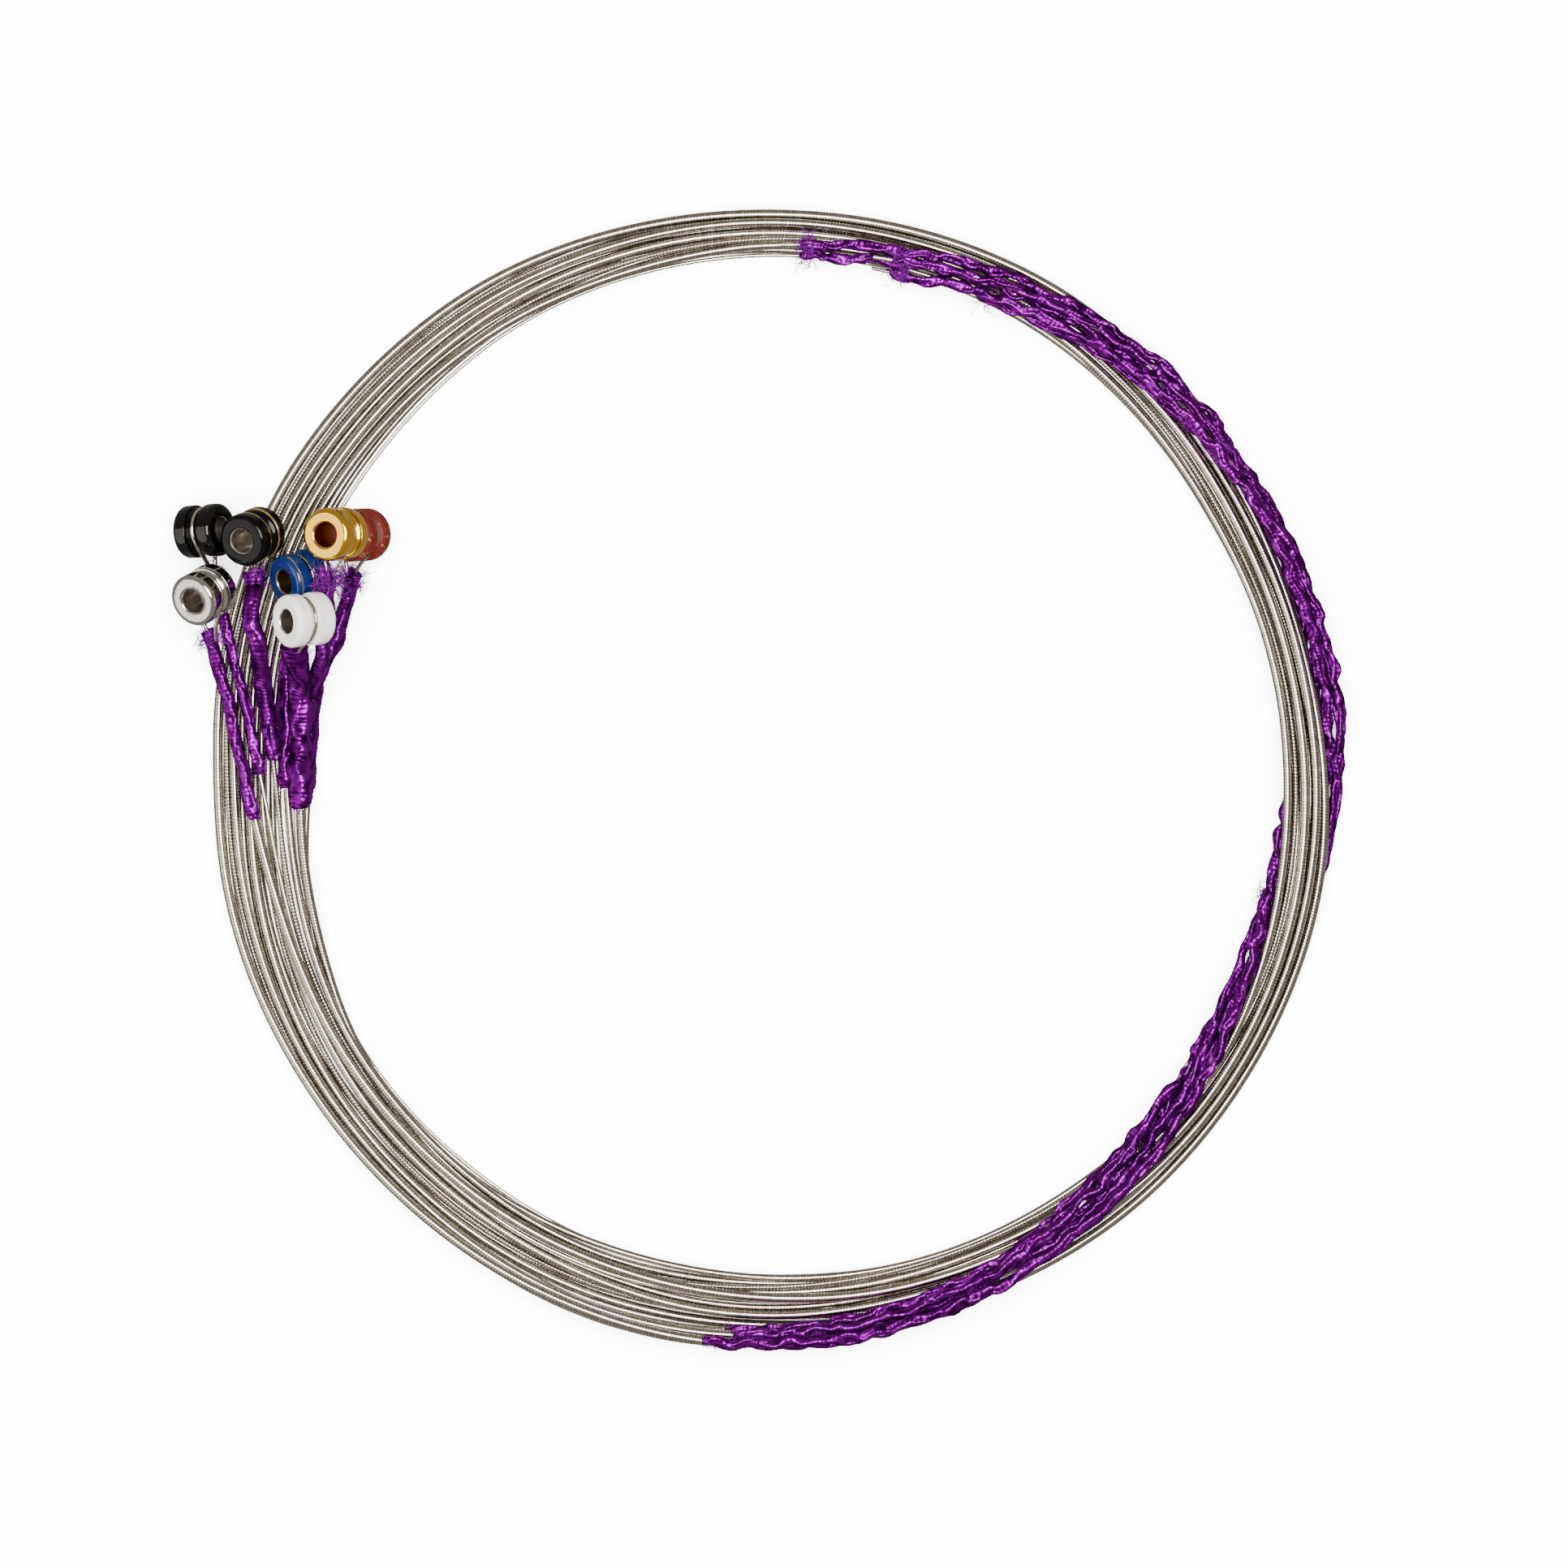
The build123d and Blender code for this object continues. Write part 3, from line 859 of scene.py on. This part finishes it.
def ball_end(s, centre, bore, leaving):
    """A turned spool with rolled lips, on its own body."""
    section = ball_profile()
    angles = np.linspace(0, 2 * math.pi, SPOOL_SIDES, endpoint=False)
    vertices = [
        (r * math.cos(a) * MM, r * math.sin(a) * MM, z * MM) for a in angles for r, z in section
    ]
    count = len(section)
    faces = []
    for i in range(SPOOL_SIDES):
        near, far = i * count, (i + 1) % SPOOL_SIDES * count
        for j in range(count):
            k = (j + 1) % count
            faces.append((near + j, near + k, far + k, far + j))
    mesh = bpy.data.meshes.new(f"{s.name}_spool")
    mesh.from_pydata(vertices, [], faces)
    mesh.shade_smooth()
    piece = bpy.data.objects.new(f"{s.name}_spool", mesh)
    bpy.context.scene.collection.objects.link(piece)
    turned = Matrix((leaving, bore.cross(leaving), bore)).transposed().to_4x4()
    piece.matrix_world = Matrix.Translation(place([centre])[0]) @ turned
    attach(piece, f"{s.name}_ball")
    finish_piece(piece, MATERIALS[s.name], f"{s.name}_ball_end")


# The angle at which each ball-end silk stops.
BALL_SILK_ENDS = {
    "red": 182,
    "gold": 181,
    "white": 183,
    "blue": 180.5,
    "nickel": 177.5,
    "black": 179,
    "silver": 184,
}
# How many degrees each peg-end silk starts after PEG_SILK_START and half a station.
PEG_SHIFTS = {
    "red": 1.5,
    "gold": -1.0,
    "white": 0.0,
    "blue": 2.5,
    "nickel": -2.0,
    "black": 1.0,
    "silver": -3.0,
}
# Each ball-end silk's thickness, and every peg-end silk's, as shares of the CAD solid's.
FULLNESS = {
    "red": 1.3,
    "gold": 1.15,
    "white": 1.4,
    "blue": 1.15,
    "nickel": 1.12,
    "black": 0.95,
    "silver": 0.95,
}
PEG_FULLNESS = 0.95

# How many loose fibres stand out, and how far: next to a ball end, at a silk's inner end, at a tip.
TANGLES = {"red": (80, 1.5), "gold": (110, 1.6), "silver": (60, 1.5)}
PLAIN_TANGLE = (30, 1.1)
INNER_TUFT = (8, 0.6)
TIP_TUFT = (34, 1.3)


def nearest(line, point):
    return int(np.argmin(np.linalg.norm(line - np.array(point), axis=1)))


def marks_on(s, whole, points, twist, silk_end):
    """Places on the fine line: the twist, the ball silk's end, and the peg silk's two ends."""
    twist_at = nearest(whole, points[twist])
    begin = nearest(whole, between(points[silk_end], points[silk_end + 1], 0.5))
    turned = angles_of(whole)
    turned += BALL_SILK_END + STEP / 2 - turned[begin]
    silk_stop = twist_at + np.searchsorted(turned[twist_at:], BALL_SILK_ENDS[s.name])
    peg_angle = PEG_SILK_START + STEP / 2 + PEG_SHIFTS[s.name]
    peg_from = np.searchsorted(turned[begin:], peg_angle) + begin
    tip = nearest(whole[peg_from:], points[-1]) + peg_from
    return twist_at, silk_stop, peg_from, tip - round(BARE_TIP / FINE_STEP)


def string(s, angles, radii, heights, random):
    """All the pieces of one string."""
    route = [Vector(p) for p in s.lead] + coil_points(s, angles, radii, heights)
    loop = loop_points(s, route[0])
    points = place(loop + route)
    first_station = len(loop) + len(s.lead)
    silk_end = first_station + (BALL_SILK_END - FIRST_STATION) // STEP - 1
    whole, _ = even_line(line_of(points, LINE_SAMPLES), FINE_STEP * MM)
    marks = marks_on(s, whole, points, len(loop) - 1, silk_end)
    twist_at, silk_stop, peg_from, peg_to = marks

    ball_end(s, *ball_frame(s, route[0]))
    wire = core_wire(s, points)
    ball_line = whole[twist_at : silk_stop + 1]
    peg_line = whole[peg_from : peg_to + 1]
    pieces = [
        silk(s, BALL_WRAPPING, ball_line, s.ball_silk * FULLNESS[s.name], random),
        silk(s, PEG_WRAPPING, peg_line, s.peg_silk * PEG_FULLNESS, random),
    ]
    for end, at, forward, thick, (count, spread) in (
        ("ball", twist_at, -1, s.ball_silk, TANGLES.get(s.name, PLAIN_TANGLE)),
        ("middle", silk_stop, 1, s.ball_silk, INNER_TUFT),
        ("peg", peg_from, -1, s.peg_silk, INNER_TUFT),
        ("tip", peg_to, 1, s.peg_silk, TIP_TUFT),
    ):
        away = Vector(whole[at + 3 * forward]) - Vector(whole[at])
        pieces.append(fuzz(s, end, Vector(whole[at]), away, thick, random, count, spread))
    if s.wound:
        wound, line = winding(s, whole[silk_stop + 2 : peg_from - 1])


# ---------------------------------------------------------------- Floor, light and camera

VIEW_WIDTH = 118.5  # at the height VIEW_LEVEL
VIEW_LEVEL = 2
VIEW_CENTRE = (1.9, -0.36)
CAMERA_HEIGHT = 620
SENSOR_WIDTH = 36
FLOOR_SIZE = 4  # metres, like the lamps' places and sizes
WARM_WHITE = (1, 0.97, 0.93)
ROOM_COLOR = (1, 0.93, 0.84, 1)
ROOM_STRENGTH = 0.45


def floor():
    """White paper, lit by a lamp of its own that lights nothing else and not seen in the metal."""
    bpy.ops.mesh.primitive_plane_add(size=FLOOR_SIZE)
    plane = bpy.context.object
    plane.name = "floor"
    s = Shader("white_floor")
    s.set(base_color=(0.93, 0.93, 0.95, 1), roughness=0.9)
    plane.data.materials.append(s.material)
    plane.visible_diffuse = False
    plane.visible_glossy = False
    paper = bpy.data.collections.new("paper")
    paper.objects.link(plane)
    only_paper = lamp("paper_lamp", (0, 0, 1.1), size=(1.6, 1.6), power=260)
    only_paper.light_linking.receiver_collection = paper


def lamp(name, place_at, size, power, color=(1, 1, 1)):
    """A soft rectangular lamp that points at the frame's origin."""
    data = bpy.data.lights.new(name, "AREA")
    data.shape = "RECTANGLE"
    data.size, data.size_y = size
    data.energy = power
    data.color = color
    made = bpy.data.objects.new(name, data)
    bpy.context.scene.collection.objects.link(made)
    made.location = place_at
    made.rotation_mode = "QUATERNION"
    made.rotation_quaternion = Vector(place_at).to_track_quat("Z", "Y")
    made.visible_camera = False
    return made


def studio():
    """A dim warm room, a lamp overhead and one at the side."""
    world = bpy.data.worlds.new("room")
    world.use_nodes = True
    background = world.node_tree.nodes["Background"]
    background.inputs["Color"].default_value = ROOM_COLOR
    background.inputs["Strength"].default_value = ROOM_STRENGTH
    bpy.context.scene.world = world
    lamp("overhead", (0, 0.02, 0.42), size=(0.24, 0.24), power=4.2, color=WARM_WHITE)
    lamp("side", (-0.42, -0.12, 0.26), size=(0.5, 0.4), power=1.7, color=WARM_WHITE)


def camera():
    """Straight above the coil and looking down, as the photograph was taken."""
    data = bpy.data.cameras.new("camera")
    data.sensor_width = SENSOR_WIDTH
    data.lens = SENSOR_WIDTH * (CAMERA_HEIGHT - VIEW_LEVEL) / VIEW_WIDTH
    data.clip_start, data.clip_end = 0.01, 10
    made = bpy.data.objects.new("camera", data)
    bpy.context.scene.collection.objects.link(made)
    made.location = (VIEW_CENTRE[0] * MM, VIEW_CENTRE[1] * MM, CAMERA_HEIGHT * MM)
    bpy.context.scene.camera = made


# ---------------------------------------------------------------- The whole set

camera()
studio()
floor()

station_angles, station_radii, station_heights = settle()
chance = np.random.default_rng(11)
for number, one in enumerate(STRINGS):
    string(one, station_angles, station_radii[number], station_heights[number], chance)
